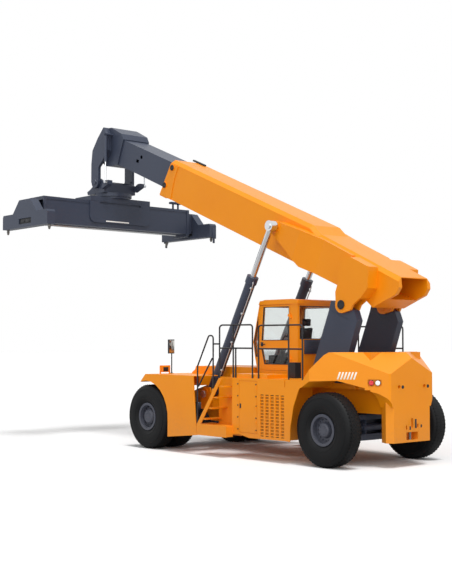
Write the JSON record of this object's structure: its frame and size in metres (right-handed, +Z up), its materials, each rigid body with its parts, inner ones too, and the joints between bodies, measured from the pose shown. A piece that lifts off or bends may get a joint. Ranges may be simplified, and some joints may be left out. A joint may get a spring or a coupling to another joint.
{
  "type": "reach stacker",
  "caption": "Container handler on six tyres with a lifting telescopic boom, a turning spreader with twistlocks, rear steering, a glazed cab and a counterweight.",
  "frame": {"origin": "on the ground under the middle of the whole outline", "axes": "+X forward, +Y to the left, +Z up"},
  "size_m": [12.798, 6.113, 9.1028],
  "materials": {
    "orange": "gloss paint",
    "dark_grey": "satin paint",
    "rim_grey": "satin paint",
    "tyre": "moulded rubber",
    "rod_chrome": "polished hard chrome",
    "window_glass": "clear laminated glass",
    "black_steel": "satin paint",
    "seat_fabric": "woven cloth",
    "engine_iron": "painted casting",
    "bare_steel": "machined steel",
    "lamp_red": "moulded lens",
    "lamp_clear": "moulded lens"
  },
  "bodies": {
    "chassis": {"boom_tower_left": "dark_grey", "boom_tower_right": "dark_grey", "cab_base": "orange", "cab_glass": "window_glass", "cab_shell": "orange", "counterweight": "orange", "drive_axle": "black_steel", "engine": "engine_iron", "front_fender_left": "orange", "front_fender_right": "orange", "handrails": "black_steel", "main_frame": "orange", "mirror": "black_steel", "rear_fender_left": "orange", "rear_fender_right": "orange", "seat": "seat_fabric", "service_boxes": "dark_grey", "side_body_left": "orange", "side_body_right": "orange", "stairs": "orange", "steer_axle": "black_steel", "tail_lamps": "lamp_red", "tow_pin": "bare_steel", "work_lamp": "lamp_clear"},
    "cab_door": {"cab_door": "orange", "door_glass": "window_glass"},
    "knuckle_left": {"knuckle_left": "black_steel"},
    "knuckle_right": {"knuckle_right": "black_steel"},
    "steer_wheel_left": {"steer_tyre_left": "tyre", "steer_rim_left": "rim_grey"},
    "steer_wheel_right": {"steer_tyre_right": "tyre", "steer_rim_right": "rim_grey"},
    "drive_wheels_left": {"drive_tyres_left": "tyre", "drive_rims_left": "rim_grey"},
    "drive_wheels_right": {"drive_tyres_right": "tyre", "drive_rims_right": "rim_grey"},
    "boom": {"outer_boom": "orange"},
    "telescopic_boom": {"inner_boom": "dark_grey", "boom_head": "dark_grey"},
    "lift_barrel_left": {"lift_barrel_left": "dark_grey"},
    "lift_barrel_right": {"lift_barrel_right": "dark_grey"},
    "lift_rod_left": {"lift_rod_left": "rod_chrome"},
    "lift_rod_right": {"lift_rod_right": "rod_chrome"},
    "hanger": {"yoke": "dark_grey"},
    "damper_barrel_left": {"damper_barrel_left": "dark_grey"},
    "damper_barrel_right": {"damper_barrel_right": "dark_grey"},
    "damper_rod_left": {"damper_rod_left": "rod_chrome"},
    "damper_rod_right": {"damper_rod_right": "rod_chrome"},
    "rotator": {"rotator": "dark_grey"},
    "spreader": {"spreader_frame": "dark_grey"},
    "telescope_left": {"telescope_left": "dark_grey", "twistlocks_left": "bare_steel"},
    "telescope_right": {"telescope_right": "dark_grey", "twistlocks_right": "bare_steel"}
  },
  "joints": [
    {"name": "cab_door_hinge", "type": "hinge", "parent": "chassis", "child": "cab_door", "pos_m": [-3.25925, 0.742, 2.35], "axis": [0, 0, 1], "range_deg": [0, 62]},
    {"name": "steer_left", "type": "hinge", "parent": "chassis", "child": "knuckle_left", "pos_m": [-5.19425, 1.1, 0.823], "axis": [0, 0, 1], "range_deg": [-50, 50]},
    {"name": "steer_right", "type": "hinge", "parent": "chassis", "child": "knuckle_right", "pos_m": [-5.19425, -1.1, 0.823], "axis": [0, 0, 1], "range_deg": [-50, 50]},
    {"name": "steer_wheel_turn_left", "type": "hinge", "parent": "knuckle_left", "child": "steer_wheel_left", "pos_m": [-5.19425, 1.451, 0.823], "axis": [0, 1, 0], "continuous": true},
    {"name": "drive_wheels_turn_left", "type": "hinge", "parent": "chassis", "child": "drive_wheels_left", "pos_m": [0.80575, 1.72, 0.823], "axis": [0, 1, 0], "continuous": true},
    {"name": "steer_wheel_turn_right", "type": "hinge", "parent": "knuckle_right", "child": "steer_wheel_right", "pos_m": [-5.19425, -1.451, 0.823], "axis": [0, 1, 0], "continuous": true},
    {"name": "drive_wheels_turn_right", "type": "hinge", "parent": "chassis", "child": "drive_wheels_right", "pos_m": [0.80575, -1.72, 0.823], "axis": [0, 1, 0], "continuous": true},
    {"name": "boom_lift", "type": "hinge", "parent": "chassis", "child": "boom", "pos_m": [-5.04425, 0, 3.585], "axis": [0, -1, 0], "range_deg": [-22.4, 37.6]},
    {"name": "boom_retract", "type": "slide", "parent": "boom", "child": "telescopic_boom", "axis": [-0.9245, 0, -0.3811], "range_m": [-3.4, 2.2]},
    {"name": "lift_swing_left", "type": "hinge", "parent": "chassis", "child": "lift_barrel_left", "pos_m": [-0.63425, 0.95, 1.49], "axis": [0, -1, 0], "range_deg": [-4.46, 7.48]},
    {"name": "lift_stroke_left", "type": "slide", "parent": "lift_barrel_left", "child": "lift_rod_left", "axis": [-0.4789, 0, 0.8779], "range_m": [-1.1081, 1.8601]},
    {"name": "lift_swing_right", "type": "hinge", "parent": "chassis", "child": "lift_barrel_right", "pos_m": [-0.63425, -0.95, 1.49], "axis": [0, -1, 0], "range_deg": [-4.46, 7.48]},
    {"name": "lift_stroke_right", "type": "slide", "parent": "lift_barrel_right", "child": "lift_rod_right", "axis": [-0.4789, 0, 0.8779], "range_m": [-1.1081, 1.8601]},
    {"name": "hanger_tilt", "type": "hinge", "parent": "telescopic_boom", "child": "hanger", "pos_m": [5.12475, 0, 7.51678], "axis": [0, -1, 0], "range_deg": [-38.35, 22.85]},
    {"name": "damper_swing_left", "type": "hinge", "parent": "telescopic_boom", "child": "damper_barrel_left", "pos_m": [4.50475, 0.71, 8.86678], "axis": [0, -1, 0], "range_deg": [-0.3529, 0.5923]},
    {"name": "damper_stroke_left", "type": "slide", "parent": "damper_barrel_left", "child": "damper_rod_left", "axis": [0, 0, -1], "range_m": [-0.4107, 0.2447]},
    {"name": "damper_swing_right", "type": "hinge", "parent": "telescopic_boom", "child": "damper_barrel_right", "pos_m": [4.50475, -0.71, 8.86678], "axis": [0, -1, 0], "range_deg": [-0.3529, 0.5923]},
    {"name": "damper_stroke_right", "type": "slide", "parent": "damper_barrel_right", "child": "damper_rod_right", "axis": [0, 0, -1], "range_m": [-0.4107, 0.2447]},
    {"name": "spreader_turn", "type": "hinge", "parent": "hanger", "child": "rotator", "pos_m": [5.12475, 0, 7.08678], "axis": [0, 0, 1], "range_deg": [-105, 195]},
    {"name": "side_shift", "type": "slide", "parent": "rotator", "child": "spreader", "axis": [0, 1, 0], "range_m": [-0.8, 0.8]},
    {"name": "telescope_left", "type": "slide", "parent": "spreader", "child": "telescope_left", "axis": [0, 1, 0], "range_m": [0, 3.05]},
    {"name": "telescope_right", "type": "slide", "parent": "spreader", "child": "telescope_right", "axis": [0, -1, 0], "range_m": [0, 3.05]}
  ],
  "couplings": [
    {"joint": "steer_right", "follows": "steer_left", "ratio": 1},
    {"joint": "lift_swing_left", "follows": "boom_lift", "ratio": 0.195},
    {"joint": "lift_stroke_left", "follows": "boom_lift", "m_per_rad": 2.7788},
    {"joint": "damper_swing_left", "follows": "boom_lift", "ratio": 0.015},
    {"joint": "damper_stroke_left", "follows": "boom_lift", "m_per_rad": -0.59588},
    {"joint": "lift_swing_right", "follows": "boom_lift", "ratio": 0.195},
    {"joint": "lift_stroke_right", "follows": "boom_lift", "m_per_rad": 2.7788},
    {"joint": "damper_swing_right", "follows": "boom_lift", "ratio": 0.015},
    {"joint": "damper_stroke_right", "follows": "boom_lift", "m_per_rad": -0.59588},
    {"joint": "hanger_tilt", "follows": "boom_lift", "ratio": -1},
    {"joint": "telescope_right", "follows": "telescope_left", "ratio": 1}
  ]
}
